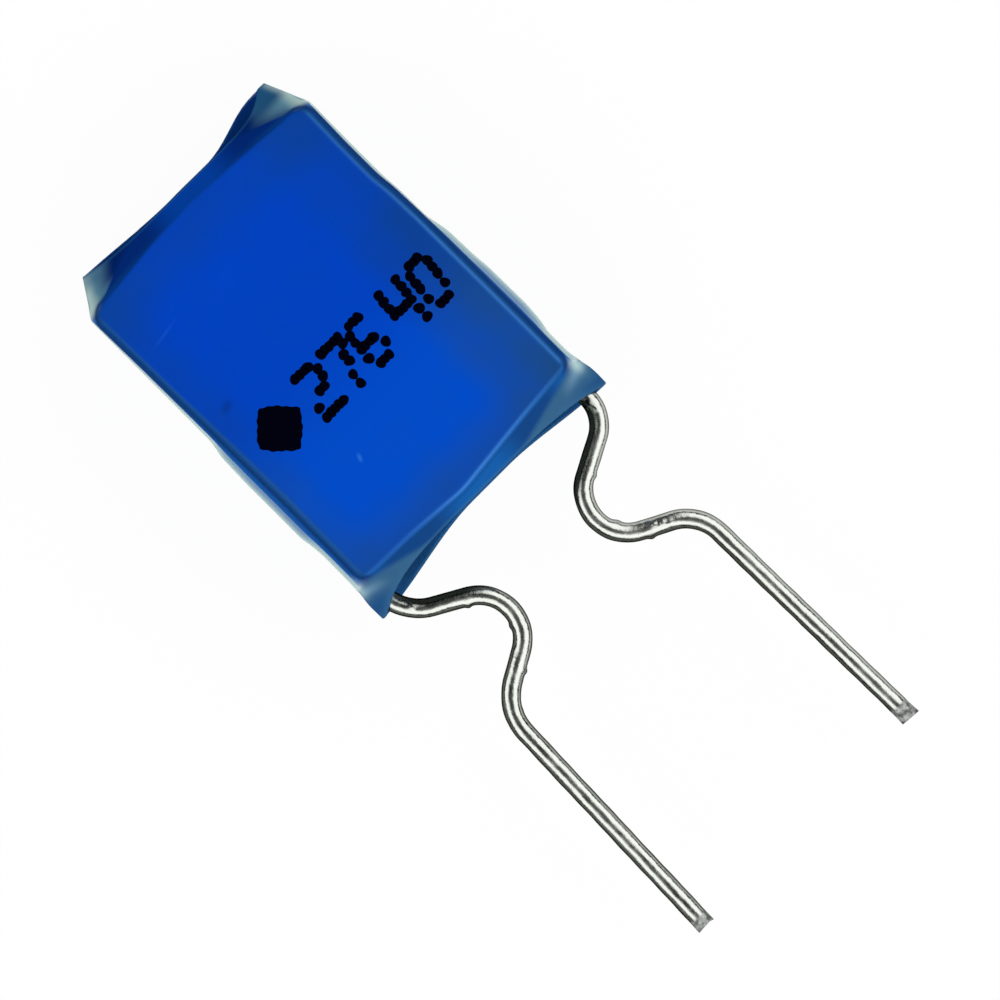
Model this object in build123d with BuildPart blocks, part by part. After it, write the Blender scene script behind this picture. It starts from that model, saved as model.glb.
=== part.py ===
import math
import os

from build123d import *

# A film capacitor lying on its flat back, in mm. Z is up from the back face, the leads run towards -Y,
# and X goes across the pitch. The middle of the back face is the origin.

# Leads
pitch = 7.5
lead_d = 0.54
seat_l = 5.1  # up the contact from the block's lower end
lead_cover = 0.23  # from a contact's face down to the middle of the lead seated in it
bend_below = 0.74  # the first bend, below the block
shoulder_r = 1.38
crown_r = 1.16
left_kink_angle = 60.5
left_kink_in = 2.12  # across the pitch, from the straight part to the crown of the kink
left_kink_out = 2.03
left_last_r = 1.46
left_splay = 1.9
left_reach = 13.05  # the cut end, below the block
right_kink_angle = 62.4
right_kink_in = 2.12
right_kink_out = 2.07
right_last_r = 1.26
right_splay = 0.9
right_reach = 12.85
cut_edge = 0.07

# Film block
block_h = 9.75
block_middle = 0.125  # of its length, from the origin
block_d = 4.2
seat_floor = 0.02  # sprayed metal left under a lead
contact_edge_r = 0.24
cover_t = 0.18

# Solder over the upper end of each lead
solder_l = 4.5
solder_w = 1.9
solder_crest_l = 3.3
solder_crest_w = 0.4
solder_t_left = 0.16
solder_t_right = 0.26
solder_drop = 2.0  # its middle, below the lead's upper end

# Sleeve on the block
sleeve_wall = 0.09
sleeve_fit = 0.01  # all round between the sleeve and the block
face_round = 0.26  # how far the rounding of the long edges reaches along each side
side_round = 0.45
side_belly = 0.02
bulge_slack = 0.035  # over the solder
bulge_run = 0.15  # past the ends of the solder
lead_slack = 0.01  # over the bare lead
fold_out = 0.02  # from the block's ends to the folds of the sleeve
flare_run = 0.1  # the flare starts this far above the block's lower end
flare_left = 0.27  # out from the lead
flare_right = 0.42

# Upper open end of the sleeve, above the block
top_end = 1.3
top_end_left_in = 0.9  # in from the sleeve's side to the pinch
top_end_right_in = 0.56
top_end_turn_in = 2.45  # in from the side, where the front and back walls turn towards it
top_end_dip = 0.6  # in from the front and back
top_end_round = 1.2
pinch_round = 0.12
top_left_tip_in = 0.66
top_left_tip = 0.97
top_right_tip_in = 0.54
top_right_tip = 1.24
top_back_lip = 0.81
top_front_lip = 0.79
top_front_slopes = (20, 40)

# Lower open end of the sleeve, below the block
low_end = 1.3
low_end_left = 0.24  # out from the lead to the pinch
low_end_right = 0.38
low_end_turn_in = 1.8
low_end_dip = 0.5
low_end_round = 1.2
low_left_tip_out = 0.2
low_left_tip = 1.24
low_right_tip_out = 0.38
low_right_tip = 1.01
low_back_lip = 0.73
low_front_lip = 0.69
low_front_slopes = (20, 22)

lead_x = pitch / 2
lead_r = lead_d / 2
lead_out = lead_x + lead_r
block_w = pitch + 2 * lead_cover
block_top = block_middle + block_h / 2
block_low = block_middle - block_h / 2
contact_t = lead_cover + lead_r + seat_floor
film_w = block_w - 2 * contact_t
film_d = block_d - 2 * cover_t
seat_top_y = block_low + seat_l
solder_y = seat_top_y - solder_drop
mid_z = block_d / 2 + sleeve_fit + sleeve_wall
half_w = block_w / 2 + sleeve_fit + sleeve_wall


def across(y):
    return Plane(origin=(0, y, mid_z), x_dir=(1, 0, 0), z_dir=(0, -1, 0))


def moved_in(corners, depth):
    """The corners of the same outline with every side moved inward."""
    count = len(corners)
    placed = []
    for i in range(count):
        before = (corners[i] - corners[i - 1]).normalized()
        after = (corners[(i + 1) % count] - corners[i]).normalized()
        turn = math.radians(before.get_angle(after))
        inward = (after - before).normalized()
        placed.append(corners[i] + inward * (depth / math.cos(turn / 2)))
    return placed


def rounded_outline(corners, setbacks):
    """Draws a closed outline whose corners are arcs that start at the setbacks."""
    count = len(corners)
    arcs = []
    for i in range(count):
        before = (corners[i] - corners[i - 1]).normalized()
        after = (corners[(i + 1) % count] - corners[i]).normalized()
        turn = math.radians(before.get_angle(after))
        inward = (after - before).normalized()
        start = corners[i] - before * setbacks[i]
        crown = corners[i] + inward * (setbacks[i] * math.tan(turn / 4))
        end = corners[i] + after * setbacks[i]
        arcs.append((start, crown, end))
    for i in range(count):
        ThreePointArc(*arcs[i])
        Line(arcs[i][2], arcs[(i + 1) % count][0])


def sleeve_section(y, left_x, right_x, flat_x, flat_z, flat_round, side_set, depth):
    """The sleeve's outline at y, moved inward by depth, as a face."""
    outer = [
        Vector(right_x, 0),
        Vector(flat_x, flat_z),
        Vector(-flat_x, flat_z),
        Vector(-left_x, 0),
        Vector(-flat_x, -flat_z),
        Vector(flat_x, -flat_z),
    ]
    setbacks = [side_set, flat_round, flat_round, side_set, flat_round, flat_round]
    corners = moved_in(outer, depth) if depth else outer
    scale = 1 - depth / (4 * flat_round)
    with BuildSketch(across(y)) as face:
        with BuildLine():
            rounded_outline(corners, [s * scale for s in setbacks])
        make_face()
    return face.sketch


def sleeve_body(depth):
    """The sleeve as if it were solid, moved inward by depth."""
    bulge_left = half_w + solder_t_left + bulge_slack
    bulge_right = half_w + solder_t_right + bulge_slack
    bare_x = max(half_w + side_belly, lead_out + sleeve_fit + sleeve_wall + lead_slack)
    stations = [
        (block_top + fold_out, half_w + side_belly, half_w + side_belly),
        (solder_y + solder_l / 2 + bulge_run, half_w + side_belly, half_w + side_belly),
        (solder_y + solder_crest_l / 2, bulge_left, bulge_right),
        (solder_y - solder_crest_l / 2, bulge_left, bulge_right),
        (solder_y - solder_l / 2 - bulge_run, bare_x, bare_x),
        (block_low + flare_run, bare_x, bare_x),
        (block_low - fold_out, lead_out + flare_left, lead_out + flare_right),
    ]
    top_sides = (half_w - top_end_left_in, half_w - top_end_right_in)
    top_turn = (half_w - top_end_turn_in, mid_z - top_end_dip, top_end_round, pinch_round)
    low_sides = (lead_out + low_end_left, lead_out + low_end_right)
    low_turn = (half_w - low_end_turn_in, mid_z - low_end_dip, low_end_round, pinch_round)
    on_block = (half_w, mid_z, face_round, side_round)
    sections = [sleeve_section(block_top + top_end, *top_sides, *top_turn, depth)]
    for station in stations:
        sections.append(sleeve_section(*station, *on_block, depth))
    sections.append(sleeve_section(block_low - low_end, *low_sides, *low_turn, depth))
    with BuildPart() as body:
        loft(sections, ruled=True)
    return body.part


# Film stack and its covers
with BuildPart() as film_stack:
    with Locations((0, block_middle, mid_z)):
        Box(film_w, block_h, film_d)

with BuildPart() as cover_front:
    with Locations((0, block_middle, mid_z + film_d / 2 + cover_t / 2)):
        Box(film_w, block_h, cover_t)

with BuildPart() as cover_back:
    with Locations((0, block_middle, mid_z - film_d / 2 - cover_t / 2)):
        Box(film_w, block_h, cover_t)


def contact(side):
    """A sprayed layer down one side of the stack, with the groove that its lead is seated in."""
    with BuildPart() as layer:
        with Locations((side * (film_w + contact_t) / 2, block_middle, mid_z)):
            Box(contact_t, block_h, block_d)
        outer = layer.edges().filter_by(Axis.Y).sort_by(Axis.X)
        fillet(outer[-2:] if side > 0 else outer[:2], radius=contact_edge_r)
        with BuildSketch(across(seat_top_y)):
            with Locations((side * lead_x, 0)):
                Circle(lead_r)
        extrude(amount=block_h, mode=Mode.SUBTRACT)
    return layer.part


def solder(side, crest_t):
    """A shallow mound over the upper end of a lead, its crest along the lead."""
    base = Plane(origin=(side * block_w / 2, solder_y, mid_z), x_dir=(0, 1, 0), z_dir=(side, 0, 0))
    with BuildPart() as mound:
        with BuildSketch(base):
            SlotOverall(solder_l, solder_w)
        with BuildSketch(base.offset(crest_t)):
            SlotOverall(solder_crest_l, solder_crest_w)
        loft()
        with BuildSketch(across(seat_top_y)):
            with Locations((side * lead_x, 0)):
                Circle(lead_r)
        extrude(amount=block_h, mode=Mode.SUBTRACT)
    return mound.part


def lead(side, kink_angle, kink_in, kink_out, last_r, splay, reach):
    """A round wire: straight in its contact, kinked towards the middle, then straight to the cut end."""
    lean = math.radians(kink_angle)
    bend = 1 - math.cos(lean)
    straight_in = (kink_in - (shoulder_r + crown_r) * bend) / math.sin(lean)
    straight_out = (kink_out - (last_r + crown_r) * bend) / math.sin(lean)
    with BuildPart() as wire:
        with BuildLine(Plane.XY.offset(mid_z)) as path:
            seat = Line((side * lead_x, seat_top_y), (side * lead_x, block_low - bend_below))
            first = JernArc(seat @ 1, seat % 1, shoulder_r, -side * kink_angle)
            inward = PolarLine(first @ 1, straight_in, direction=first % 1)
            crown = JernArc(inward @ 1, inward % 1, crown_r, side * 2 * kink_angle)
            outward = PolarLine(crown @ 1, straight_out, direction=crown % 1)
            last = JernArc(outward @ 1, outward % 1, last_r, -side * (kink_angle - splay))
            pin_l = ((last @ 1).Y - block_low + reach) / math.cos(math.radians(splay))
            PolarLine(last @ 1, pin_l, direction=last % 1)
        with BuildSketch(across(seat_top_y)):
            with Locations((side * lead_x, 0)):
                Circle(lead_r)
        sweep(path=path.line)
        chamfer(wire.faces().sort_by(Axis.Y)[0].edges(), length=cut_edge)
    return wire.part


with BuildPart() as contact_left:
    add(contact(-1))

with BuildPart() as contact_right:
    add(contact(1))

with BuildPart() as solder_left:
    add(solder(-1, solder_t_left))

with BuildPart() as solder_right:
    add(solder(1, solder_t_right))

with BuildPart() as lead_left:
    add(lead(-1, left_kink_angle, left_kink_in, left_kink_out, left_last_r, left_splay, left_reach))

with BuildPart() as lead_right:
    add(lead(1, right_kink_angle, right_kink_in, right_kink_out, right_last_r, right_splay, right_reach))


def beyond_lip(tips, middle_y, far_y, slopes, floor_z):
    """What lies beyond a lip, in the half of the sleeve that stands on floor_z."""
    left_tip, right_tip = tips
    with BuildPart() as waste:
        with BuildSketch(Plane.XY.offset(floor_z)):
            with BuildLine():
                if slopes:
                    down = -math.copysign(1, far_y)
                    leave = math.radians(slopes[0])
                    arrive = math.radians(slopes[1])
                    first = (math.cos(leave), down * math.sin(leave))
                    last = (math.cos(arrive), -down * math.sin(arrive))
                    lip = Spline(left_tip, (0, middle_y), right_tip, tangents=[first, last])
                else:
                    lip = ThreePointArc(left_tip, (0, middle_y), right_tip)
                out_x = 2 * half_w
                outside = [(out_x, right_tip[1]), (out_x, far_y), (-out_x, far_y), (-out_x, left_tip[1])]
                Polyline(lip @ 1, *outside, lip @ 0)
            make_face()
        extrude(amount=mid_z)
    return waste.part


# Sleeve
top_tips = (
    (top_left_tip_in - half_w, block_top + top_left_tip),
    (half_w - top_right_tip_in, block_top + top_right_tip),
)
low_tips = (
    (-lead_out - low_left_tip_out, block_low - low_left_tip),
    (lead_out + low_right_tip_out, block_low - low_right_tip),
)
far_y = 2 * block_h
lips = [
    (top_tips, block_top + top_front_lip, far_y, top_front_slopes, mid_z),
    (top_tips, block_top + top_back_lip, far_y, None, 0),
    (low_tips, block_low - low_front_lip, -far_y, low_front_slopes, mid_z),
    (low_tips, block_low - low_back_lip, -far_y, None, 0),
]
with BuildPart() as sleeve:
    add(sleeve_body(0))
    add(sleeve_body(sleeve_wall), mode=Mode.SUBTRACT)
    for lip in lips:
        add(beyond_lip(*lip), mode=Mode.SUBTRACT)

pieces = {
    "sleeve": sleeve,
    "film_stack": film_stack,
    "cover_front": cover_front,
    "cover_back": cover_back,
    "contact_left": contact_left,
    "contact_right": contact_right,
    "solder_left": solder_left,
    "solder_right": solder_right,
    "lead_left": lead_left,
    "lead_right": lead_right,
}

os.makedirs("parts", exist_ok=True)
for name, piece in pieces.items():
    piece.part.label = name
    export_step(piece.part, f"parts/{name}.step")
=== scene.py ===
import math

import bpy
import numpy as np
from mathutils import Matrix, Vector


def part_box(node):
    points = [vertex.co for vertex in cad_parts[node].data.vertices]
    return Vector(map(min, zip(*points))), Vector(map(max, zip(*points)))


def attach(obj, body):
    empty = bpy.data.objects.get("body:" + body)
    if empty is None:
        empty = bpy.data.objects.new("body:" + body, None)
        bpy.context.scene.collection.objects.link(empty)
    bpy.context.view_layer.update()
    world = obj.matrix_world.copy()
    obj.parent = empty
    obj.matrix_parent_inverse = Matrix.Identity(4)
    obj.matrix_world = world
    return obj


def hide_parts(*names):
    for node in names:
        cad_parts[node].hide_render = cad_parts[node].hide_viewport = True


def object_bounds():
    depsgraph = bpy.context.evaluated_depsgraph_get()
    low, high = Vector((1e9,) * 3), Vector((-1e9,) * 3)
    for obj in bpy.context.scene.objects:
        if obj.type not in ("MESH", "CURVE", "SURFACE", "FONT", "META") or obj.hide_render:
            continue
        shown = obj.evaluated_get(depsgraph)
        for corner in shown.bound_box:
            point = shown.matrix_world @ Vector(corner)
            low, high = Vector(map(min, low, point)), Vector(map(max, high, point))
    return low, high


# The looks of a film capacitor that lies on its back: a blue shrunk sleeve, open and pinched at
# both ends, two kinked tinned wires and one row of dot-printed digits. X goes across the body and
# Y along it, with the wires at the low end. Sizes are in mm until a mesh is made.

MM = 0.001

# Sleeve
WALL = 0.09
SIDE_ROUND = 1.4  # how far the rounding of a side's corner reaches along the walls
PINCH_ROUND = 0.06
PLAN_ROUND = 0.4  # the face's four corners, seen from the front
PLAN_SETBACK = 0.2
FOLD_BLUR = 0.1
SIDE_BLUR = 0.2
RIM_ROUND = 0.02

# How far the sleeve reaches out from the middle, at half its height: (place along Y, reach).
# It swells over the solder, from -3 to 0.5, and flares at its low end.
LEFT_SIDE = [
    (-6.1, 4.2), (-5.2, 4.22), (-4.6, 4.17), (-3.7, 4.16), (-3.3, 4.2),
    (-3.0, 4.26), (-0.9, 4.26), (0.0, 4.23), (0.5, 4.12), (5.0, 4.1),
]
RIGHT_SIDE = [
    (-6.1, 4.36), (-5.6, 4.38), (-5.1, 4.39), (-4.5, 4.26), (-3.7, 4.26), (-3.4, 4.34),
    (-2.8, 4.39), (-1.4, 4.37), (-0.9, 4.32), (0.0, 4.29), (0.25, 4.25), (0.7, 4.14),
    (1.7, 4.13), (2.2, 4.09), (3.6, 4.09), (5.0, 4.1),
]
# The same for the long edges of its two faces, and how far their rounding reaches
LEFT_EDGE = [(-5.0, 3.99), (-2.0, 3.98), (1.0, 4.0), (3.0, 4.02), (5.0, 4.06)]
RIGHT_EDGE = [
    (-5.0, 4.1), (-2.0, 4.1), (0.8, 4.09), (1.4, 4.07),
    (1.9, 4.05), (2.4, 3.99), (3.6, 3.99), (5.0, 4.03),
]
LEFT_ROUND = [(-5.0, 0.38), (-2.0, 0.42), (0.0, 0.38), (2.0, 0.3), (5.0, 0.28)]
RIGHT_ROUND = [(-5.0, 0.28), (5.0, 0.28)]

# Folds of the printed face at its two ends: (place across X, place along Y)
TOP_FOLD = [(-4.0, 4.98), (-2.9, 5.1), (-1.5, 5.24), (0.0, 5.31), (2.2, 5.17), (4.0, 5.02)]
LOW_FOLD = [(-4.0, -4.93), (-2.0, -4.98), (-0.3, -5.13), (2.2, -4.86), (4.0, -4.7)]

# Upper open end. A tip is (place across X, place along Y), and a lip is the place of its middle.
END_TOP = 6.3
TOP_LEFT = 3.18  # reach of the sides where the end would close
TOP_RIGHT = 3.52
TOP_FLAT = 2.9  # reach of the face's long edges there
TOP_ROUND = 1.8
TOP_SLOPE = 0.14  # how fast both walls near each other
TOP_LENS_RUN = 1.0  # past a fold, until the outline has turned from a box to a lens
ROUND_RUN = 0.7  # and until its corners have opened
TOP_TIPS = ((-3.42, 5.98), (3.5, 6.22))
TOP_FRONT_TIPS = ((-3.42, 5.98), (3.36, 6.22))
TOP_FRONT_LIP = 5.73
TOP_BACK_LIP = 5.81
TOP_FRONT_POWERS = (4.0, 6.7)  # how late the lip rises, left and right
TOP_BACK_SPANS = ((0.3, 3.5), (1.0, 3.1))  # where the lip starts and stops rising, left and right

# Lower open end, in the same way
END_LOW = -6.05
LOW_FLAT = 2.7
LOW_ROUND = 1.5
LOW_SLOPE = 0.82
LOW_LENS_RUN = 1.05
LOW_TIPS = ((-4.1, -6.0), (4.3, -5.76))
LOW_FRONT_LIP = -5.43
LOW_BACK_LIP = -5.48
LOW_FRONT_POWERS = (4.2, 3.6)
LOW_BACK_SPANS = ((0.3, 4.4), (1.0, 4.3))

# Mesh of the sleeve: for each corner the columns on its arc, then on the line to the next corner
COLUMN_COUNTS = [(8, 14), (16, 72), (16, 14), (8, 14), (10, 40), (10, 14)]
COLUMNS = sum(on_arc + on_line for on_arc, on_line in COLUMN_COUNTS)
FACE_LINES = (1, 4)  # the lines across the front and the back
END_ROWS = 22
FINE_ROW = 0.03
COARSE_ROW = 0.085
INNER_STEP = 4  # the inner face has every fourth row of the block's part
SETTLING = 14  # rounds

# Marks on the printed face, scuffs and stains: (middle, length, width, turn, strength, tone)
MARKS = [
    ((-1.62, -2.57), 0.34, 0.16, 70, 0.7, (48, 118, 214)),
    ((-3.15, 0.85), 0.6, 0.34, 20, 0.6, (8, 44, 120)),
    ((-2.95, 3.36), 1.3, 0.1, 9, 0.25, (40, 104, 214)),
    ((1.5, 2.2), 1.8, 1.1, 60, 0.2, (1, 54, 170)),
    ((-0.9, 3.2), 2.6, 1.2, 20, 0.15, (6, 72, 200)),
]

# Wires. Each goes down from the body, in to the crown of its kink, and out again. The flakes of tin
# are (place across X, place along Y, size). A notch or a slant shapes the cut end, and crown,
# right_flank, flank_from and lip_shade say how dark the wire's painted reflection lines and painted
# shade are.
CROWN_R = 1.16
PITCH = 7.5
CUT_EDGE = 0.01
WIRE_SPACING = 0.05
WIRE_COLUMNS = 48
WIRES = {
    "wire_left": {
        "node": "lead_left",
        "side": -1,
        "bend_below": 0.74,
        "shoulder_r": 1.38,
        "kink_angle": 60.5,
        "kink_in": 2.12,
        "kink_out": 2.03,
        "last_r": 1.46,
        "splay": 1.9,
        "flakes": [
            (-2.36, -7.36, 0.05), (-2.02, -8.5, 0.06), (-2.5, -9.68, 0.05),
            (-3.2, -10.36, 0.03), (-3.4, -6.31, 0.04),
        ],
        "notch": 0.07,
        "slant": 0.0,
        "longer": 0.0,
        "crown": 0.62,
        "right_flank": 0.82,
        "flank_from": (0.72, 0.6),
        "lip_shade": 0.0,
    },
    "wire_right": {
        "node": "lead_right",
        "side": 1,
        "bend_below": 0.94,
        "shoulder_r": 1.05,
        "kink_angle": 62.4,
        "kink_in": 2.12,
        "kink_out": 2.07,
        "last_r": 1.26,
        "splay": 0.9,
        "flakes": [
            (2.1, -8.51, 0.1), (2.46, -7.36, 0.05), (2.32, -9.55, 0.06), (2.62, -9.3, 0.03),
            (2.8, -9.42, 0.03), (2.95, -9.56, 0.02), (3.62, -5.86, 0.06), (3.7, -6.05, 0.03),
        ],
        "notch": 0.0,
        "slant": 0.1,
        "longer": 0.07,
        "crown": 0.2,
        "right_flank": 0.4,
        "flank_from": (0.78, 0.54),
        "lip_shade": 1.0,
    },
}

# Print: one row of digits made of dots, after a plain block
TEXT = "27640"
INK_RISE = 0.008
INK_ROOT = 0.004  # below the face
FACE_SINK = 0.01  # how far the face lies below the highest point, so that the ink stays inside it
DOT_R = 0.15
DOT_POINTS = 20
DOT_STEP = 0.155
DOT_ROWS = (0.08, -0.14, -0.36, -0.58, -0.89, -1.2)
DIGIT_SLANT = 0.02
DIGIT_LEFTS = (-1.36, -0.42, 0.48, 1.74, 2.7)
BLOCK_MIDDLE = (-2.57, -0.54)
BLOCK_HALF = 0.78
BLOCK_POINTS = 96
DIGITS = {
    "0": (" xxx ", "x   x", "x   x", "x   x", "x   x", " xxx "),
    "2": ("xxxx ", "    x", "    x", "  xx ", "x    ", "xxxxx"),
    "4": ("x   x", "x   x", "x   x", "xxxxx", "    x", "    x"),
    "6": (" xxx ", "x    ", "x    ", "xxxx ", "x   x", " xxx "),
    "7": ("xxxxx", "    x", "   x ", "   x ", "  x  ", "  x  "),
}

# View and light
VIEW_WIDTH = 26.4
VIEW_SHIFT = (0.136, -0.181)  # from the middle of the part
VIEW_TURN = -45.0
LENS = 950.0
FLOOR_HALF = 0.6  # in metres
FLOOR_GLOW = 0.95
SKY = 1.72
STRAY_LIGHT = 0.012
CAMERA_HOLE = (-0.06, 0.06, 1)  # directions in the tent
PAST_END = (0.17, 0.985, 0)


def box_mm(node):
    low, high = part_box(node)
    return np.array(low) / MM, np.array(high) / MM


def unit(v):
    return v / np.linalg.norm(v, axis=-1, keepdims=True)


def step(value, low, high):
    """From 0 at low to 1 at high, starting and ending softly."""
    t = np.clip((value - low) / (high - low), 0, 1)
    return t * t * (3 - 2 * t)


def bell(value, middle, width):
    """1 in the middle, falling to 0 on both sides."""
    return np.exp(-(((value - middle) / width) ** 2))


def circle(count):
    """Angles all round, evenly."""
    return np.arange(count) / count * 2 * math.pi


def soft_line(at, stations, blur=0.25):
    """Straight runs between the stations, with their turns softened."""
    places, values = zip(*sorted(stations))
    taps = np.linspace(-1, 1, 9)
    weights = np.cos(taps * math.pi / 2) ** 2 + 0.05
    total = sum(w * np.interp(at + t * blur, places, values) for t, w in zip(taps, weights))
    return total / weights.sum()


def make_mesh(name, points, faces, smooth=True):
    mesh = bpy.data.meshes.new(name)
    mesh.from_pydata((np.asarray(points) * MM).tolist(), [], faces)
    mesh.validate()
    mesh.polygons.foreach_set("use_smooth", [smooth] * len(mesh.polygons))
    piece = bpy.data.objects.new(name, mesh)
    bpy.context.scene.collection.objects.link(piece)
    return piece


def attribute(piece, name, values):
    layer = piece.data.attributes.new(name, "FLOAT", "POINT")
    layer.data.foreach_set("value", np.asarray(values, np.float32).ravel())


def grid_faces(rows, columns):
    """Quads over a grid of rows that close on themselves."""
    faces = []
    for r in range(rows - 1):
        for c in range(columns):
            a = r * columns + c
            b = r * columns + (c + 1) % columns
            faces.append((a, a + columns, b + columns, b))
    return faces


# --- Sleeve -----------------------------------------------------------------------------------


def past(y, fold):
    """How far y is past a fold, starting softly."""
    return soft_line(y - fold, [(-9, 0), (0, 0), (9, 9)], FOLD_BLUR)


def opened(distance, start, run):
    """How far the sleeve has opened this far past a fold: 0 at the fold, about 1 at the run."""
    return step(distance, start, run) - step(0, start, run)


def at_ends(on_block, at_top, at_low, top_share, low_share):
    """A measure on the block, turning into those of the two open ends."""
    return on_block + top_share * (at_top - on_block) + low_share * (at_low - on_block)


class Section:
    """The sleeve's outline across Y: six corners, each rounded by an arc.

    Corners 0 and 3 are the middles of its right and left side.
    """

    def __init__(self, y, block):
        up = past(y, block["top"])
        down = past(-y, -block["low"])
        self.height = block["half_z"] - TOP_SLOPE * up - LOW_SLOPE * down
        self.set_edges(y, up, down)
        self.set_rounds(y, up, down, block)
        self.set_sides(y, up / (END_TOP - block["top"]))

    def set_edges(self, y, up, down):
        """How far the long edges of both faces reach."""
        shares = opened(up, -0.1, TOP_LENS_RUN), opened(down, -0.2, LOW_LENS_RUN)
        self.left_edge = at_ends(soft_line(y, LEFT_EDGE), TOP_FLAT, LOW_FLAT, *shares)
        self.right_edge = at_ends(soft_line(y, RIGHT_EDGE), TOP_FLAT, LOW_FLAT, *shares)

    def set_rounds(self, y, up, down, block):
        """How far each corner's arc reaches along its two lines."""
        shares = opened(up, -0.1, ROUND_RUN), opened(down, -0.1, ROUND_RUN)
        near_end = np.clip(np.maximum(y - block["top"], block["low"] - y) / PLAN_ROUND + 1, 0, 1)
        plan = PLAN_SETBACK * (1 - np.sqrt(1 - near_end ** 2))
        self.left_round = at_ends(soft_line(y, LEFT_ROUND) + plan, TOP_ROUND, LOW_ROUND, *shares)
        self.right_round = at_ends(soft_line(y, RIGHT_ROUND) + plan, TOP_ROUND, LOW_ROUND, *shares)
        pinch = np.clip(up / (END_TOP - block["top"]) + down / (block["low"] - END_LOW), 0, 1)
        side_round = SIDE_ROUND + pinch * (PINCH_ROUND - SIDE_ROUND)
        spare = 0.97 * self.height - np.maximum(self.left_round, self.right_round)
        self.side_round = np.maximum(np.minimum(side_round, spare), PINCH_ROUND)

    def set_sides(self, y, to_tip):
        """How far the side corners reach, so that their arcs just touch the sleeve's sides."""
        left = soft_line(y, LEFT_SIDE, SIDE_BLUR)
        right = soft_line(y, RIGHT_SIDE, SIDE_BLUR)
        self.left = self.beyond_arc(left + to_tip * (TOP_LEFT - left), self.left_edge)
        self.right = self.beyond_arc(right + to_tip * (TOP_RIGHT - right), self.right_edge)

    def beyond_arc(self, side, edge):
        return side + self.side_round * np.tan(np.arctan((side - edge) / self.height) / 2)

    def corners(self, columns):
        """The six corners for these columns, as arrays of x and z."""
        left, right = self.left[:, columns], self.right[:, columns]
        left_edge, right_edge = self.left_edge[:, columns], self.right_edge[:, columns]
        z = self.height[:, columns]
        zero = np.zeros_like(z)
        listed = [
            (right, zero), (right_edge, z), (-left_edge, z),
            (-left, zero), (-left_edge, -z), (right_edge, -z),
        ]
        return [np.stack(pair, axis=-1) for pair in listed]

    def arc_point(self, corner, columns, t):
        """A point on a corner's arc, from its start at t = 0 to its end at t = 1."""
        corners = self.corners(columns)
        here = corners[corner]
        before = unit(here - corners[corner - 1])
        after = unit(corners[(corner + 1) % 6] - here)
        side, left, right = self.side_round, self.left_round, self.right_round
        setback = (side, right, left, side, left, right)[corner][:, columns, None]
        turn = np.arccos(np.clip((before * after).sum(-1, keepdims=True), -1, 1 - 1e-9))
        radius = setback / np.tan(turn / 2)
        inward = np.stack([-before[..., 1], before[..., 0]], axis=-1)
        angle = turn * t[None, :, None]
        start = here - before * setback
        return start + before * radius * np.sin(angle) + inward * radius * (1 - np.cos(angle))


def outline(section):
    """x and z of every vertex of the sleeve's outer face."""
    points = []
    first = 0
    for corner, (on_arc, on_line) in enumerate(COLUMN_COUNTS):
        arc = slice(first, first + on_arc)
        line = slice(first + on_arc, first + on_arc + on_line)
        points.append(section.arc_point(corner, arc, np.linspace(0, 1, on_arc)))
        start = section.arc_point(corner, line, np.ones(on_line))
        end = section.arc_point((corner + 1) % 6, line, np.zeros(on_line))
        t = (np.arange(on_line) + 1) / (on_line + 1)
        if corner in FACE_LINES:
            t = 0.35 * t + 0.65 * (1 - np.cos(math.pi * t)) / 2  # closer together near the edges
        points.append(start + (end - start) * t[None, :, None])
        first += on_arc + on_line
    both = np.concatenate(points, axis=1)
    return both[..., 0], both[..., 1]


def front_lip(x, middle, tips, powers):
    """Where the front wall ends along Y: level in the middle, rising to the pinched tips."""
    (left_x, left_y), (right_x, right_y) = tips
    left = (left_y - middle) * np.clip(x / left_x, 0, 1) ** powers[0]
    right = (right_y - middle) * np.clip(x / right_x, 0, 1) ** powers[1]
    return middle + left + right


def back_lip(x, middle, tips, spans):
    """The same for the back wall, which rises sooner and levels out at the tips."""
    left = (tips[0][1] - middle) * step(-x, *spans[0])
    right = (tips[1][1] - middle) * step(x, *spans[1])
    return middle + left + right


def front_columns():
    """For each column whether it is on the front half."""
    counts = [a + b for a, b in COLUMN_COUNTS]
    start = COLUMN_COUNTS[0][0] // 2
    end = sum(counts[:3]) + COLUMN_COUNTS[3][0] // 2
    places = np.arange(COLUMNS)
    return ((places >= start) & (places < end))[None, :]


def row_places(block):
    """Rows along Y on the block and just past its ends, finer at the folds."""
    top, low = block["top"], block["low"]
    past_fold, before_fold = 0.3, 0.5
    return np.concatenate([
        np.arange(low - past_fold, low + before_fold, FINE_ROW),
        np.arange(low + before_fold, top - before_fold, COARSE_ROW),
        np.arange(top - before_fold, top + past_fold, FINE_ROW),
    ])


def top_lip(x):
    front = front_lip(x, TOP_FRONT_LIP, TOP_FRONT_TIPS, TOP_FRONT_POWERS)
    back = back_lip(x, TOP_BACK_LIP, TOP_TIPS, TOP_BACK_SPANS)
    return np.where(front_columns(), front, back)


def low_lip(x):
    front = front_lip(x, LOW_FRONT_LIP, LOW_TIPS, LOW_FRONT_POWERS)
    back = back_lip(x, LOW_BACK_LIP, LOW_TIPS, LOW_BACK_SPANS)
    return np.where(front_columns(), front, back)


def unbowed(x, y, block):
    """The place along Y that a point would have if both folds were straight."""
    top_bow = (soft_line(x, TOP_FOLD, 0.6) - block["top"]) * step(y, 4.0, block["top"])
    low_bow = (soft_line(x, LOW_FOLD, 0.6) - block["low"]) * step(-y, 3.7, -block["low"])
    return y - np.maximum(top_bow, 0) - np.minimum(low_bow, 0)


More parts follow.
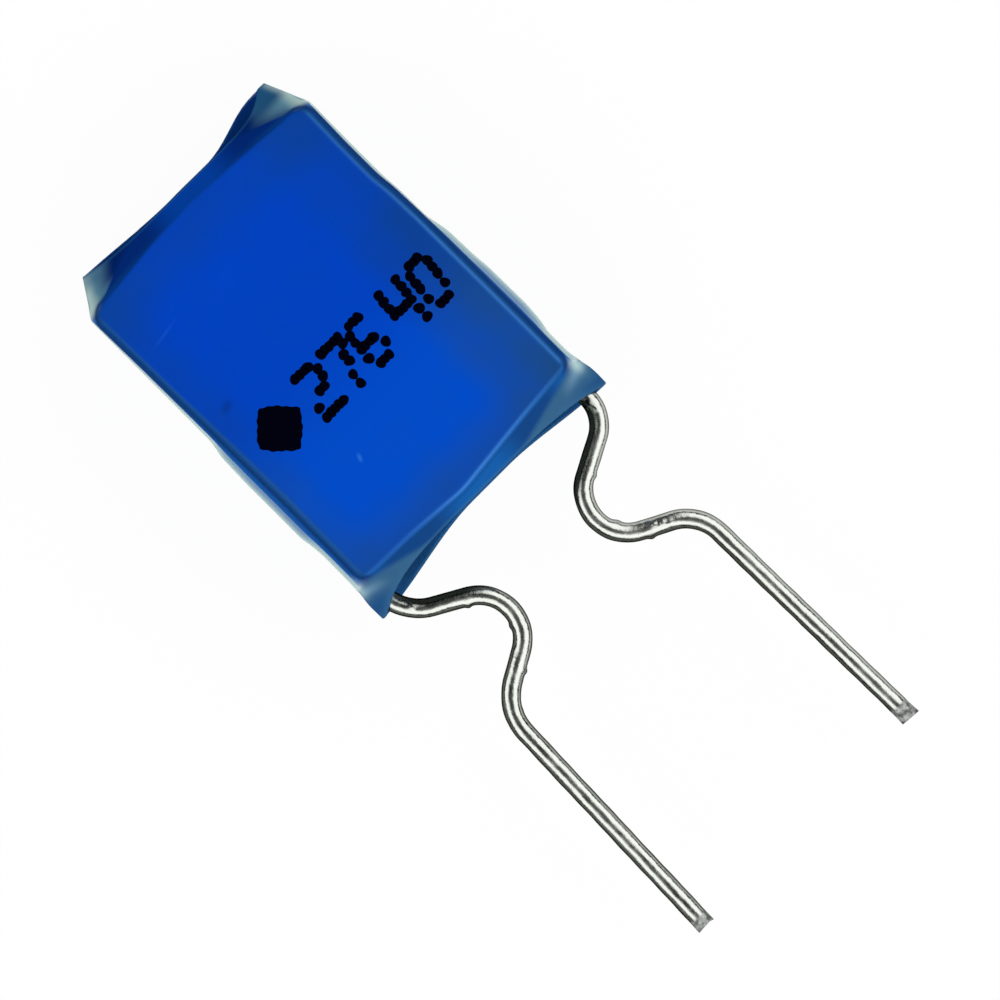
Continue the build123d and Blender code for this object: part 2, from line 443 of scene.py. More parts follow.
def sleeve_surface(block):
    """x, y and z of the outer face, as grids of rows by columns.

    A column's place along X and the length of the sleeve there depend on each other, so both are
    found by going round until they settle.
    """
    on_block = row_places(block)
    share = np.linspace(0, 1, END_ROWS + 1)[1:, None]
    middle = np.repeat(on_block[:, None], COLUMNS, axis=1)
    x = np.zeros((len(on_block) + 2 * END_ROWS, COLUMNS))
    for _ in range(SETTLING):
        up = on_block[-1] + (top_lip(x[-1:]) - on_block[-1]) * share
        down = on_block[0] + (low_lip(x[:1]) - on_block[0]) * share[::-1]
        y = np.concatenate([down, middle, up])
        new_x, z = outline(Section(unbowed(x, y, block), block))
        x = (x + new_x) / 2
    on_face = front_columns() * step(3.95 - np.abs(x), 0, 0.3) * step(4.95 - np.abs(y), 0, 0.3)
    return x, y, z - FACE_SINK * on_face


def grid_normals(points):
    along = np.gradient(points, axis=0)
    around = (np.roll(points, -1, axis=1) - np.roll(points, 1, axis=1)) / 2
    return unit(np.cross(along, around))


def walled(outer, normals):
    """The rows all round the wall: a rim, the outer face, the other rim, the inner face back."""
    count = len(outer)
    kept = np.r_[0:END_ROWS, END_ROWS:count - END_ROWS:INNER_STEP, count - END_ROWS:count]
    inner = (outer - normals * WALL)[kept]
    along = np.gradient(outer, axis=0)
    rim_low = (outer[0] + inner[0]) / 2 - unit(along[0]) * RIM_ROUND
    rim_top = (outer[-1] + inner[-1]) / 2 + unit(along[-1]) * RIM_ROUND
    return np.concatenate([rim_low[None], outer, rim_top[None], inner[::-1]])


def build_sleeve(block):
    x, y, z = sleeve_surface(block)
    outer = np.stack([x, y, z + block["mid_z"]], axis=-1)
    normals = grid_normals(outer)
    rows = walled(outer, normals)
    faces = grid_faces(len(rows), COLUMNS)
    last = (len(rows) - 1) * COLUMNS
    for c in range(COLUMNS):
        after = (c + 1) % COLUMNS
        faces.append((last + c, c, after, last + after))
    piece = make_mesh("shrunk_sleeve", rows.reshape(-1, 3), faces)
    top_rim = len(outer) + 1
    inside = np.zeros(rows.shape[:2])
    inside[top_rim:] = 1
    attribute(piece, "inside", inside)
    # The lower end, where each film tone changes to the version painted with the light and shade
    # that fall there.
    attribute(piece, "lower", step(-rows[..., 1], -0.6, 2.4))
    for name, tone in film_tones(outer, normals).items():
        whole = np.zeros(rows.shape[:2])
        whole[1:top_rim] = tone
        whole[0], whole[top_rim] = tone[0], tone[-1]
        attribute(piece, name, whole)
    return piece


class Lie:
    """How the film lies at each point: how far inside the face's borders, and how it leans."""

    def __init__(self, points, normals):
        x, y = points[..., 0], points[..., 1]
        self.x, self.y = x, y
        self.out = np.abs(x)
        self.to_top = soft_line(x, TOP_FOLD, 0.4) - y
        self.to_low = y - soft_line(x, LOW_FOLD, 0.4)
        self.to_left = x + soft_line(y, LEFT_EDGE) - 0.5 * soft_line(y, LEFT_ROUND)
        self.to_right = soft_line(y, RIGHT_EDGE) - 0.5 * soft_line(y, RIGHT_ROUND) - x
        self.along = np.minimum(self.to_top, self.to_low)
        across = np.minimum(self.to_left, self.to_right)
        corner = 0.35
        short = np.clip(corner - across, 0, None), np.clip(corner - self.along, 0, None)
        self.inside = corner - np.hypot(*short)
        self.past_fold = step(-self.along, -0.05, 0.15)
        row_left, row_right = x.min(axis=1, keepdims=True), x.max(axis=1, keepdims=True)
        self.to_side = np.minimum(x - row_left, row_right - x)
        self.lean = np.degrees(np.arcsin(np.clip(np.abs(normals[..., 0]), 0, 1)))
        self.upward = step(normals[..., 2], 0.0, 0.15)


def face_tones(lie):
    """Where the film is held on the block's face, the painted veil of reflection and shade that
    greys it towards its borders, and the painted highlight and painted dark line along its border.
    """
    x, y = lie.x, lie.y
    # Painted veil of reflection and shade over the face: greyer towards the right, the left and
    # both ends.
    right = (0.42 * step(x, 1.4, 2.7) + 0.26 * step(x, 2.6, 3.6)) * (1 - 0.5 * step(y, 0.8, 2.5))
    left = 0.28 * step(-x, 2.5, 3.6)
    top = step(y, 3.3, 4.9) * (0.26 + 0.2 * step(lie.out, 1.5, 3.2))
    low = 0.45 * step(-y, 3.3, 4.9)
    # A painted highlight along the low fold and along both long edges.
    by_low = 0.2 + 0.55 * bell(x, 0, 1.4) + 0.3 * bell(x, 2.0, 1.2)
    by_right = (0.48 - 0.2 * step(y, 0, 3)) * bell(lie.to_right, 0.06, 0.05)
    by_side = by_right + 0.1 * bell(lie.to_left, 0.03, 0.05)
    crest_highlight = bell(lie.to_low, 0.05, 0.045) * by_low + by_side * step(lie.along, 0.0, 0.3)
    # A painted dark line of shade just outside the face's border, fainter in the middle of the
    # upper end.
    top_middle = step(lie.to_top, 0.1, -0.1) * (1 - step(lie.out, 1.0, 3.4))
    shade_line = bell(lie.inside, -0.1, 0.06) * (1 - 0.85 * top_middle)
    return {
        "held": step(lie.inside, -0.06, 0.05),
        "painted_veil": 1 - (1 - right) * (1 - left) * (1 - top) * (1 - low),
        "crest_highlight": crest_highlight * step(lie.inside, -0.05, 0.03),
        "shade_line": shade_line * step(lie.to_low, -0.12, 0.0),
    }


def drawn_tones(lie):
    """Where the film is drawn over the long edges, down the flanks or past the block's ends, and
    the wedges past the folds that take a painted shade.
    """
    rows = np.arange(len(lie.x))
    lip = step(rows, len(rows) - 4, len(rows) - 1) + step(-rows, -6, 0)
    between_corners = step(np.abs(lie.x - 0.2), 0.5, 1.8) * (1 - step(lie.out, 2.9, 3.8))
    return {
        "steep": step(lie.lean, 5, 24),
        "sheer": step(lie.lean, 28, 66) * (1 - lie.past_fold),
        "end": lie.past_fold,
        "wedge_shade": step(-lie.along, -0.02, 0.1) * between_corners,
        "lip": lip[:, None] * np.ones_like(lie.x),
    }


def wing_tones(lie):
    """The painted pale reflection that spreads from the silhouette over the facets at the corners
    and along the hem.
    """
    x, y = lie.x, lie.y
    right_reach = 0.98 + 0.4 * step(y, 5.2, 5.5) * (1 - 0.8 * step(y, 5.55, 5.8))
    left_reach = 1.25 - 0.27 * step(y, 5.25, 5.5)
    reach = np.where(x > 0, right_reach, left_reach)
    top_wings = step(-lie.to_side, -reach, 0.0) * step(y, 4.0, 4.4)
    low_y = np.where(x > 0, -4.85 - 0.25 * (3.7 - x), -5.0 - 0.25 * (3.5 + x))
    low_wings = step(low_y - y, -0.05, 0.15) * step(lie.out, 0.6, 2.1)
    hem = step(-lie.to_side, -0.36 - 0.2 * step(-y, -5.5, -5.15), 0.0)
    return {
        "wing_reflection": (top_wings + low_wings) * lie.past_fold * step(-lie.inside, 0.0, 0.12),
        "side": hem * lie.past_fold * step(y, 0, 1) * lie.upward,
    }


def corner_tones(lie):
    """The painted highlights and pale glints where the pinched corners start, and the dark ears at
    the tips.
    """
    x, y, out = lie.x, lie.y, lie.out
    ridge_y = np.where(x > 0, -4.95, -5.13) - 0.32 * (4.15 - out)
    ridge_highlight = bell(y, ridge_y, 0.15) * step(out, 3.2, 4.1) * lie.past_fold
    # Painted pale glints at the corners, near the silhouette at both ends.
    low_glow = np.where(x > 0, bell(y, -4.85, 0.22), bell(y, -4.95, 0.26))
    glow = bell(out, 4.15, 0.16) * (0.85 * low_glow + 0.6 * bell(y, 5.15, 0.25))
    low_ears = step(out, 3.2, 4.0) * step(-y, 5.2, 5.7)
    right_ear = step(x, 2.5, 3.1) * (1 - 0.55 * step(-lie.to_side, -0.25, 0.0))
    top_ears = (right_ear + 0.55 * step(-x, 2.9, 3.3)) * step(y, 5.45, 5.8)
    return {
        "ridge_highlight": ridge_highlight * lie.upward,
        "corner_glint": glow * lie.upward,
        "ear": low_ears + top_ears,
    }


def film_tones(points, normals):
    """How strongly each tone of the film shows at each point of its outer face."""
    lie = Lie(points, normals)
    return {**face_tones(lie), **drawn_tones(lie), **wing_tones(lie), **corner_tones(lie)}


# --- Print ------------------------------------------------------------------------------------


def domed_patch(rim, middle, face_z):
    """Vertices and faces of a low dome of ink over a closed rim of (x, y)."""
    count = len(rim)
    points = []
    for share, rise in ((1.0, -INK_ROOT), (0.93, INK_RISE * 0.7), (0.7, INK_RISE)):
        for x, y in rim:
            place_x = middle[0] + (x - middle[0]) * share
            place_y = middle[1] + (y - middle[1]) * share
            points.append((place_x, place_y, face_z + rise))
    points.append((*middle, face_z + INK_RISE))
    faces = []
    for ring in range(2):
        for i in range(count):
            after = (i + 1) % count
            a, b = ring * count + i, ring * count + after
            faces.append((a, b, b + count, a + count))
    for i in range(count):
        faces.append((2 * count + i, 2 * count + (i + 1) % count, 3 * count))
    return points, faces


def rim_points(middle, radii, angles):
    x, y = middle
    return [(x + r * math.cos(a), y + r * math.sin(a)) for r, a in zip(radii, angles)]


def dot_rim(middle, radius, wobble):
    """A circle that is slightly out of round."""
    angles = circle(DOT_POINTS)
    wave = 0.06 * np.sin(2 * angles + wobble) + 0.05 * np.sin(3 * angles + 2.3 * wobble)
    return rim_points(middle, radius * (1 + wave), angles)


def block_rim(middle, half):
    """A square on its corner, with round corners and a slightly wavy border."""
    angles = circle(BLOCK_POINTS)
    power = 1.2
    square = (np.abs(np.cos(angles)) ** power + np.abs(np.sin(angles)) ** power) ** (-1 / power)
    wave = 0.02 * np.sin(16 * angles) + 0.015 * np.sin(7 * angles + 1)
    return rim_points(middle, half * square * (1 + wave), angles)


def build_print(text, face_z):
    random = np.random.default_rng(7)
    patches = [domed_patch(block_rim(BLOCK_MIDDLE, BLOCK_HALF), BLOCK_MIDDLE, face_z)]
    for digit, left in zip(text, DIGIT_LEFTS):
        for row, line in enumerate(DIGITS[digit]):
            for column, mark in enumerate(line):
                if mark == " ":
                    continue
                slip = random.uniform(-0.012, 0.012, 2)
                x = left + column * DOT_STEP - row * DIGIT_SLANT + slip[0]
                y = DOT_ROWS[row] + slip[1]
                radius = DOT_R * random.uniform(0.94, 1.06)
                rim = dot_rim((x, y), radius, random.uniform(0, 6))
                patches.append(domed_patch(rim, (x, y), face_z))
    points, faces = [], []
    for more_points, more_faces in patches:
        first = len(points)
        points += more_points
        faces += [tuple(first + i for i in face) for face in more_faces]
    return make_mesh("print", points, faces)


# --- Wires ------------------------------------------------------------------------------------


class Path:
    """A flat line drawn by a pen that goes forward and turns."""

    def __init__(self, x, y, heading, spacing):
        self.points = [np.array([x, y], float)]
        self.headings = [heading]
        self.spacing = spacing

    def forward(self, length):
        count = max(1, round(length / self.spacing))
        start, heading = self.points[-1], self.headings[-1]
        ahead = np.array([math.cos(heading), math.sin(heading)])
        for i in range(1, count + 1):
            self.points.append(start + ahead * length * i / count)
            self.headings.append(heading)

    def turn(self, radius, angle):
        """Turns left where the angle is positive."""
        count = max(2, round(abs(angle) * radius / self.spacing))
        start, heading = self.points[-1], self.headings[-1]
        side = math.copysign(1, angle)
        centre = start + radius * side * np.array([-math.sin(heading), math.cos(heading)])
        for i in range(1, count + 1):
            now = heading + angle * i / count
            self.points.append(centre - radius * side * np.array([-math.sin(now), math.cos(now)]))
            self.headings.append(now)


def wire_path(spec, block, low, high):
    """From the upper end on the block, through the kink, down to the cut end."""
    side = spec["side"]
    lean = math.radians(spec["kink_angle"])
    splay = math.radians(spec["splay"])
    bend = 1 - math.cos(lean)
    path = Path(side * PITCH / 2, high[1], -math.pi / 2, WIRE_SPACING)
    path.forward(high[1] - block["low"] + spec["bend_below"])
    path.turn(spec["shoulder_r"], -side * lean)
    path.forward((spec["kink_in"] - (spec["shoulder_r"] + CROWN_R) * bend) / math.sin(lean))
    path.turn(CROWN_R, side * 2 * lean)
    path.forward((spec["kink_out"] - (spec["last_r"] + CROWN_R) * bend) / math.sin(lean))
    path.turn(spec["last_r"], -side * (lean - splay))
    path.forward((path.points[-1][1] - low[1] - CUT_EDGE + spec["longer"]) / math.cos(splay))
    return path


def roughened(rows, flakes, mid_z, radius):
    """The wire's skin with slow dents and with flakes of tin that stand out at (x, y)."""
    centres = rows.mean(axis=1, keepdims=True)
    outward = unit(rows - centres)
    x, y, z = rows[..., 0], rows[..., 1], rows[..., 2]
    dents = np.sin(5.1 * y + 3 * x + 9 * z) * np.sin(3.7 * x - 2.9 * y + 5 * z + 1)
    rise = 0.006 * (dents - 1)
    for flake_x, flake_y, size in flakes:
        away = np.hypot(x - flake_x, y - flake_y)
        rise = rise + size * bell(away, 0, 0.05 + 0.6 * size) * step(z, mid_z - 0.3 * radius, mid_z)
    return rows + outward * rise[..., None]


def cut_end(rows, low_y, notch, slant):
    """Shapes the wire's end as the cutter left it: hollow in the middle, or slanted and wider."""
    centres = rows.mean(axis=1, keepdims=True)
    near = step(low_y - rows[..., 1], -0.35, 0.0)
    across = (rows - centres)[..., 0]
    shaped = rows + (rows - centres) * (0.06 * near * (slant > 0))[..., None]
    hollow = notch * np.clip(1 - (across / 0.3) ** 2, 0, 1)
    shaped[..., 1] += near * (hollow - slant * (across + 0.4))
    return shaped


def wire_rings(path, mid_z, radius):
    """A ring of points across each place on the path."""
    angles = circle(WIRE_COLUMNS)
    rings = []
    for place, heading in zip(path.points, path.headings):
        across = np.array([math.sin(heading), -math.cos(heading), 0])
        centre = np.array([place[0], place[1], mid_z])
        around = np.cos(angles)[:, None] * across + np.sin(angles)[:, None] * [0, 0, 1]
        rings.append(centre + radius * around)
    return np.array(rings)


def wire_tones(rows, spec, low_y):
    """The painted dark reflection lines on the wire's flanks and crown, its painted shade by the
    body and the lip, and its torn end.
    """
    outward = unit(rows - rows.mean(axis=1, keepdims=True))
    x, y = rows[..., 0], rows[..., 1]
    rightward = outward[..., 0] > 0
    flank_from = np.where(rightward, *spec["flank_from"])
    flank = step(np.abs(np.cos(circle(WIRE_COLUMNS))), flank_from, flank_from + 0.14)
    by_body = step(outward[..., 1], -0.1, 0.35) * step(y, -7.6, -7.0)
    by_lip = step(-outward[..., 0], -0.2, 0.3) * step(y, -6.7, -6.2) * spec["lip_shade"]
    kinked = np.clip((PITCH / 2 - np.abs(x)) / spec["kink_in"], 0, 1)
    return {
        "flank": flank * np.where(rightward, spec["right_flank"], 1.0),
        "shaded": np.maximum(by_body, by_lip),
        "crown": spec["crown"] * (1 - 0.7 * kinked) * step(outward[..., 2], 0.95, 0.99),
        "cut": step(low_y - y, -0.42, -0.3),
    }


def build_wire(name, spec, block):
    low, high = box_mm(spec["node"])
    radius = (high[2] - low[2]) / 2
    rows = wire_rings(wire_path(spec, block, low, high), block["mid_z"], radius)
    rows = roughened(rows, spec["flakes"], block["mid_z"], radius)
    rows = cut_end(rows, low[1] - spec["longer"], spec["notch"], spec["slant"])
    points = rows.reshape(-1, 3)
    faces = grid_faces(len(rows), WIRE_COLUMNS)
    faces.append(tuple(range(WIRE_COLUMNS)))
    faces.append(tuple(range(len(points) - WIRE_COLUMNS, len(points)))[::-1])
    piece = make_mesh(name, points, faces)
    for tone, values in wire_tones(rows, spec, low[1]).items():
        attribute(piece, tone, values)
    return piece


# --- Materials --------------------------------------------------------------------------------


class Nodes:
    """Adds nodes to one shader tree and joins them."""

    def __init__(self, tree):
        self.tree = tree
        tree.nodes.clear()

    def new(self, kind, inputs=None, **settings):
        node = self.tree.nodes.new("ShaderNode" + kind)
        for name, value in settings.items():
            setattr(node, name, value)
        for key, value in (inputs or {}).items():
            if isinstance(value, bpy.types.NodeSocket):
                self.tree.links.new(value, node.inputs[key])
            else:
                node.inputs[key].default_value = value
        return node

    def math(self, operation, a, b):
        return self.new("Math", {0: a, 1: b}, operation=operation).outputs[0]

    def ramp(self, value, low, high, start=0.0, end=1.0):
        inputs = {"Value": value, "From Min": low, "From Max": high, "To Min": start, "To Max": end}
        return self.new("MapRange", inputs, interpolation_type="SMOOTHSTEP").outputs["Result"]

    def mix(self, factor, a, b):
        return self.new("Mix", {0: factor, 6: a, 7: b}, data_type="RGBA").outputs[2]

    def mask(self, name, share=None):
        """A tone written on the mesh, or this share of it."""
        tone = self.new("Attribute", attribute_name=name).outputs["Fac"]
        return tone if share is None else self.math("MULTIPLY", tone, share)

    def facing(self):
        """0 where the surface faces the eye, 1 where it is seen edge-on."""
        return self.new("LayerWeight", {"Blend": 0.5}).outputs["Facing"]

    def scaled(self, vector, scale):
        inputs = {0: vector, 1: scale}
        return self.new("VectorMath", inputs, operation="MULTIPLY").outputs["Vector"]

    def dot(self, vector, direction):
        inputs = {0: vector, 1: direction}
        return self.new("VectorMath", inputs, operation="DOT_PRODUCT").outputs["Value"]

    def noise(self, scale, detail=3.0, vector=None):
        inputs = {"Scale": scale, "Detail": detail}
        inputs["Vector"] = vector or self.new("TexCoord").outputs["Object"]
        return self.new("TexNoise", inputs).outputs["Fac"]

    def blot(self, middle, length, width, turn):
        """1 in the middle of an oval at (x, y) mm, falling to 0 at its border."""
        inputs = {
            "Vector": self.scaled(self.new("TexCoord").outputs["Object"], (1, 1, 0)),
            "Location": (middle[0] * MM, middle[1] * MM, 0),
            "Rotation": (0, 0, math.radians(turn)),
            "Scale": (length / 2 * MM, width / 2 * MM, 1),
        }
        local = self.new("Mapping", inputs, vector_type="TEXTURE").outputs["Vector"]
        return self.new("TexGradient", {"Vector": local}, gradient_type="SPHERICAL").outputs["Fac"]

    def bump(self, height, strength, distance):
        inputs = {"Height": height, "Strength": strength, "Distance": distance}
        return self.new("Bump", inputs).outputs["Normal"]

    def surface(self, inputs):
        shader = self.new("BsdfPrincipled", inputs)
        self.new("OutputMaterial", {"Surface": shader.outputs[0]})


def srgb(r, g, b):
    """A colour given as it shows on screen, 0 to 255, as linear light."""
    shown = [c / 255 for c in (r, g, b)]
    linear = [c / 12.92 if c <= 0.04045 else ((c + 0.055) / 1.055) ** 2.4 for c in shown]
    return (*linear, 1.0)


def new_material(name):
    material = bpy.data.materials.new(name)
    material.use_nodes = True
    return material, Nodes(material.node_tree)


def shade(n, upper, low):
    """A tone of the film painted in two versions, with the light and shade that fall on the
    sleeve's upper half and on its lower half.
    """
    return n.mix(n.mask("lower"), srgb(*upper), srgb(*low))


def held_color(n):
    """The film on the block's face, with its marks and a painted veil of reflection and shade, and
    where it leaves the face at the folds, with the painted shade of the wedges.
    """
    mottle = n.ramp(n.noise(900), 0.3, 0.7, -0.05, 0.05)
    snug = shade(n, (1, 63, 186), (1, 73, 195))
    # Painted veil of reflection and shade over the face.
    veil_tone = shade(n, (16, 61, 120), (28, 70, 114))
    face = n.mix(n.math("ADD", n.mask("painted_veil"), mottle), snug, veil_tone)
    free = shade(n, (4, 58, 148), (22, 90, 164))
    # Painted shade on the wedges between the middle and the corners past the folds.
    wedge_shade = shade(n, (3, 37, 107), (21, 66, 127))
    color = n.mix(n.mask("held"), n.mix(n.mask("wedge_shade"), free, wedge_shade), face)
    for middle, length, width, turn, strength, tone in MARKS:
        share = n.math("MULTIPLY", n.blot(middle, length, width, turn), strength)
        color = n.mix(share, color, srgb(*tone))
    return color


def drawn_color(n, color):
    """Over that, the film drawn over the edges, in painted shade where it leans and past the folds,
    and with painted pale reflections and sheen where it is seen at a slant.
    """
    facing = n.facing()
    slanted = n.ramp(facing, 0.03, 0.24)
    # Painted shade: the film is darker where it leans and past the folds.
    edge = shade(n, (3, 58, 125), (14, 64, 130))
    end = shade(n, (3, 36, 100), (16, 66, 130))
    color = n.mix(n.mask("steep"), color, n.mix(n.mask("end"), edge, end))
    # Painted pale reflection on the corner facets, where they are seen at a slant.
    color = n.mix(n.mask("wing_reflection", slanted), color, shade(n, (104, 156, 176), (54, 98, 136)))
    # Painted highlight along the ridges at the low corners.
    ridge_highlight = n.mask("ridge_highlight", n.ramp(facing, 0.3, 0.6, 0.0, 0.6))
    color = n.mix(ridge_highlight, color, srgb(126, 166, 192))
    # Painted sheen: the flanks turn pale where they are seen edge-on.
    flank = n.mix(n.ramp(facing, 0.76, 0.98, 0.0, 0.85), srgb(12, 86, 168), srgb(186, 222, 206))
    color = n.mix(n.mask("sheer"), color, flank)
    # Painted pale reflection along the hem by the silhouette.
    color = n.mix(n.mask("side", slanted), color, srgb(186, 212, 206))
    color = n.mix(n.mask("ear"), color, shade(n, (34, 84, 126), (34, 80, 130)))
    # Painted pale glints at the corners.
    return n.mix(n.mask("corner_glint", slanted), color, srgb(186, 216, 214))


def lined_color(n, color):
    """Over that, the painted dark line and the painted highlight along the face's border, the lips,
    and the sleeve's inner face.
    """
    # Painted dark line of shade just outside the face's border.
    color = n.mix(n.mask("shade_line"), color, srgb(8, 52, 112))
    # Painted highlight along the face's border.
    color = n.mix(n.mask("crest_highlight"), color, srgb(64, 134, 214))
    color = n.mix(n.mask("lip", 0.6), color, shade(n, (34, 84, 128), (54, 102, 142)))
    # Painted light: the inner face is made lighter than its shade, with a lit and a shaded version.
    return n.mix(n.mask("inside"), color, shade(n, (3, 58, 136), (38, 102, 166)))


def sleeve_film():
    material, n = new_material("sleeve_film")
    matt = n.math("MAXIMUM", n.mask("end"), n.mask("sheer", 0.9))
    n.surface({
        "Base Color": lined_color(n, drawn_color(n, held_color(n))),
        "Roughness": 0.22,
        "IOR": 1.5,
        "Specular IOR Level": n.ramp(matt, 0, 1, 0.11, 0.0),
        "Specular Tint": (0.35, 0.95, 1.0, 1.0),
        "Normal": n.bump(n.noise(2500), 0.1, 0.01 * MM),
    })
    return material


def tin():
    """Bright tin with dull patches, painted dark reflections along its flanks and crown, painted
    shade by the body and the lip, and a torn end.
    """
    material, n = new_material("tinned_wire")
    patches = n.noise(1500, 4)
    bright = n.mix(patches, (0.46, 0.48, 0.44, 1), (0.64, 0.66, 0.62, 1))
    drawn_out = n.scaled(n.new("TexCoord").outputs["Object"], (3, 1, 3))  # along the wire
    dashes = n.ramp(n.noise(3600, 6, drawn_out), 0.44, 0.58)
    # Painted dark reflection along the crown.
    color = n.mix(n.mask("crown", dashes), bright, (0.12, 0.13, 0.12, 1))
    # Painted dark reflection along the flanks.
    color = n.mix(n.mask("flank"), color, (0.087, 0.092, 0.08, 1))
    color = n.mix(n.mask("shaded"), color, (0.05, 0.06, 0.05, 1))
    grain = n.ramp(n.noise(7000, 3), 0.35, 0.65)
    torn = n.mix(grain, (0.14, 0.15, 0.14, 1), (0.5, 0.52, 0.5, 1))
    drawn_rough = n.ramp(patches, 0.35, 0.65, 0.14, 0.28)
    n.surface({
        "Base Color": n.mix(n.mask("cut"), color, torn),
        "Metallic": 1.0,
        "Roughness": n.math("MAXIMUM", drawn_rough, n.mask("cut", 0.6)),
        "Specular Tint": (0.11, 0.12, 0.09, 1.0),
        "Normal": n.bump(n.noise(5200, 5), 0.7, 0.02 * MM),
    })
    return material


def ink():
    material, n = new_material("ink")
    n.surface({"Base Color": srgb(2, 3, 14), "Roughness": 0.8, "Specular IOR Level": 0.0})
    return material


def film_layers():
    """The edge of a stack of thin metallised films."""
    material, n = new_material("film_layers")
    inputs = {"Vector": n.new("TexCoord").outputs["Object"], "Scale": 4200.0, "Distortion": 0.6}
    wave = n.new("TexWave", inputs, bands_direction="Z").outputs["Fac"]
    n.surface({
        "Base Color": n.mix(wave, srgb(150, 152, 158), srgb(196, 198, 202)),
        "Metallic": 0.55,
        "Roughness": 0.4,
        "Normal": n.bump(wave, 0.4, 0.01 * MM),
    })
    return material


def cover_film():
    material, n = new_material("cover_film")
    n.surface({
        "Base Color": srgb(216, 219, 222),
        "Roughness": 0.35,
        "Normal": n.bump(n.noise(1800), 0.1, 0.01 * MM),
    })
    return material


def sprayed_metal():
    material, n = new_material("sprayed_metal")
    grains = n.noise(9000, 6)
    n.surface({
        "Base Color": n.mix(grains, srgb(120, 122, 124), srgb(180, 182, 184)),
        "Metallic": 0.8,
        "Roughness": 0.65,
        "Normal": n.bump(grains, 0.9, 0.03 * MM),
    })
    return material


def solder():
    material, n = new_material("solder")
    patches = n.noise(2200, 4)
    n.surface({
        "Base Color": n.mix(patches, srgb(164, 166, 168), srgb(208, 210, 212)),
        "Metallic": 1.0,
        "Roughness": n.ramp(patches, 0.3, 0.7, 0.25, 0.45),
        "Normal": n.bump(patches, 0.4, 0.02 * MM),
    })
    return material


# --- Stage ------------------------------------------------------------------------------------


def shown_directly(n):
    """1 for rays that show the background itself: seen by the camera, mirrored or through glass."""
    path = n.new("LightPath").outputs
    either = n.math("MAXIMUM", path["Is Camera Ray"], path["Is Glossy Ray"])
    return n.math("MAXIMUM", either, path["Is Transmission Ray"])


def build_floor():
    """White in the picture, and dim enough in itself to keep the part's shadow."""
    mesh = bpy.data.meshes.new("floor")
    corners = [(x * FLOOR_HALF, y * FLOOR_HALF, 0) for x, y in ((-1, -1), (1, -1), (1, 1), (-1, 1))]
    mesh.from_pydata(corners, [], [(0, 1, 2, 3)])
    floor = bpy.data.objects.new("floor", mesh)
    bpy.context.scene.collection.objects.link(floor)
    material, n = new_material("floor_white")
    matt = n.new("BsdfDiffuse", {"Color": (0.9, 0.9, 0.9, 1)})
    glow = n.new("Emission", {"Color": (1, 1, 1, 1), "Strength": 1.0})
    share = n.math("MULTIPLY", shown_directly(n), FLOOR_GLOW)
    both = n.new("MixShader", {0: share, 1: matt.outputs[0], 2: glow.outputs[0]})
    n.new("OutputMaterial", {"Surface": both.outputs[0]})
    mesh.materials.append(material)


def direction_light(n):
    """How bright the tent is in each direction.

    It is dark near the floor, at the hole that the camera looks in by, and past the sleeve's upper
    end.
    """
    direction = n.new("TexCoord").outputs["Generated"]
    up = n.new("SeparateXYZ", {0: direction}).outputs["Z"]
    roof = n.ramp(n.dot(direction, Vector(CAMERA_HOLE).normalized()), 0.84, 0.96, 1.0, 0.07)
    wall = n.ramp(up, 0.24, 0.38)
    level = n.scaled(direction, (1, 1, 0))
    level = n.new("VectorMath", {0: level}, operation="NORMALIZE").outputs["Vector"]
    sides = n.ramp(n.dot(level, PAST_END), 0.78, 0.93, 1.0, 0.02)
    return n.math("MULTIPLY", n.math("MULTIPLY", roof, wall), sides)


def build_world():
    """A tent of soft light, which the camera itself sees as plain white."""
    world = bpy.data.worlds.new("tent")
    bpy.context.scene.world = world
    world.use_nodes = True
    n = Nodes(world.node_tree)
    strength = n.math("ADD", n.math("MULTIPLY", direction_light(n), SKY), STRAY_LIGHT)
    seen = n.new("LightPath").outputs["Is Camera Ray"]
    lit = n.new("Background", {"Color": (1, 1, 1, 1), "Strength": strength})
    white = n.new("Background", {"Color": (1, 1, 1, 1), "Strength": 1.0})
    both = n.new("MixShader", {0: seen, 1: lit.outputs[0], 2: white.outputs[0]})
    n.new("OutputWorld", {"Surface": both.outputs[0]})


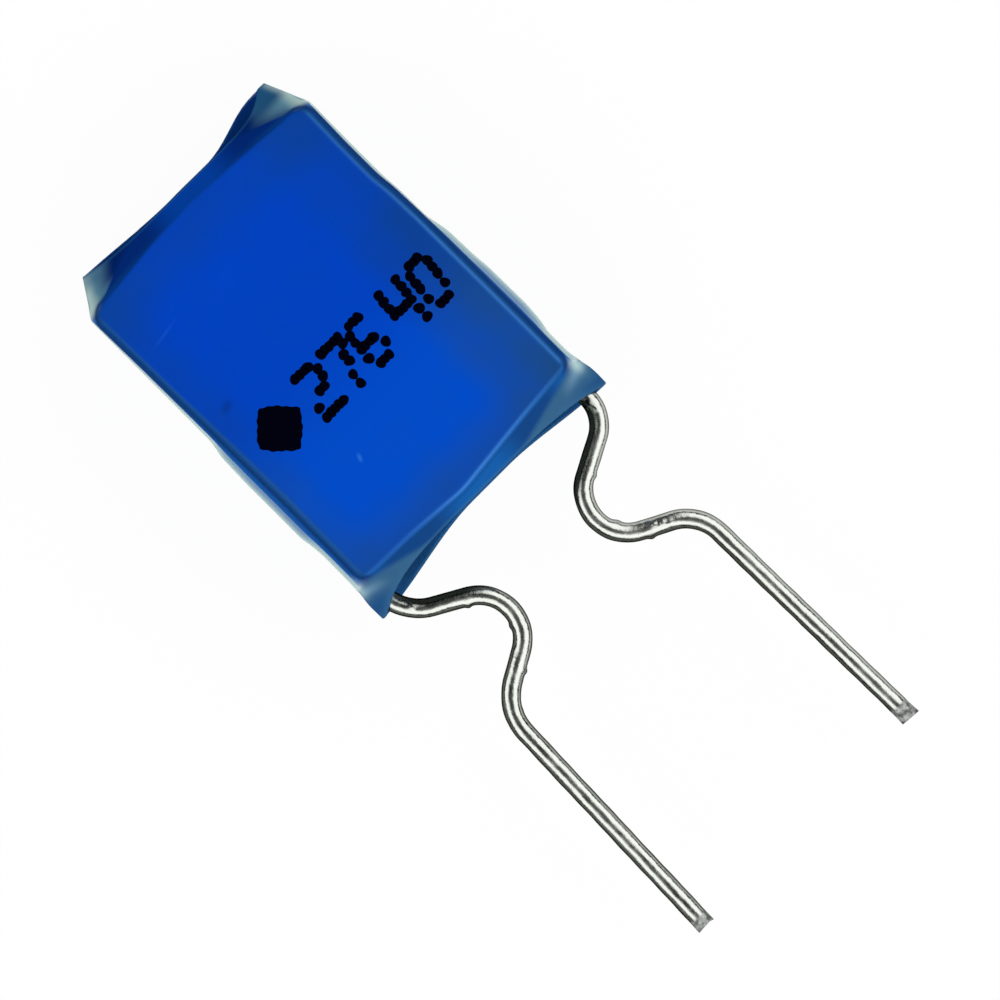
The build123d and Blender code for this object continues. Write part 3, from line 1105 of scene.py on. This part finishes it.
def build_camera(low, high):
    """Looks straight down, from so far that there is next to no perspective."""
    middle = (low + high) / 2
    data = bpy.data.cameras.new("camera")
    data.lens = LENS
    distance = VIEW_WIDTH * MM * LENS / data.sensor_width
    camera = bpy.data.objects.new("camera", data)
    camera.location = middle + Vector((VIEW_SHIFT[0] * MM, VIEW_SHIFT[1] * MM, distance))
    camera.rotation_euler = (0, 0, math.radians(VIEW_TURN))
    data.clip_start = distance / 10
    data.clip_end = distance * 4
    bpy.context.scene.collection.objects.link(camera)
    bpy.context.scene.camera = camera


def dress(piece, material):
    piece.data.materials.clear()
    piece.data.materials.append(material)


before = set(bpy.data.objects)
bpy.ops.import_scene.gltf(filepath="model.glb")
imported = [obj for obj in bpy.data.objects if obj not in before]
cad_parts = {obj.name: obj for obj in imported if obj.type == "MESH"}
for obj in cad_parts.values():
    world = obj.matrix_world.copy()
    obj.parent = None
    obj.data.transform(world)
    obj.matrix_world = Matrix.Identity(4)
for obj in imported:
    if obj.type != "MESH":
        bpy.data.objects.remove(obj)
cad_low, cad_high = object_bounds()
stack_low, stack_high = box_mm("film_stack")
sleeve_high = box_mm("sleeve")[1]
block = {
    "top": stack_high[1],
    "low": stack_low[1],
    "mid_z": (stack_low[2] + stack_high[2]) / 2,
    "half_z": sleeve_high[2] / 2,
}

sleeve = build_sleeve(block)
dress(sleeve, sleeve_film())
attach(sleeve, "root")
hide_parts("sleeve")

tin_material = tin()
for name, spec in WIRES.items():
    wire = build_wire(name, spec, block)
    dress(wire, tin_material)
    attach(wire, "root")
    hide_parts(spec["node"])

digits = build_print(TEXT, sleeve_high[2] - FACE_SINK)
dress(digits, ink())
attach(digits, "root")

# The inner pieces, as the solids that they are
for nodes, material in (
    (("film_stack",), film_layers()),
    (("cover_front", "cover_back"), cover_film()),
    (("contact_left", "contact_right"), sprayed_metal()),
    (("solder_left", "solder_right"), solder()),
):
    for node in nodes:
        dress(bpy.data.objects[node], material)

build_floor()
build_world()
build_camera(cad_low, cad_high)
bpy.context.scene.view_settings.view_transform = "Standard"
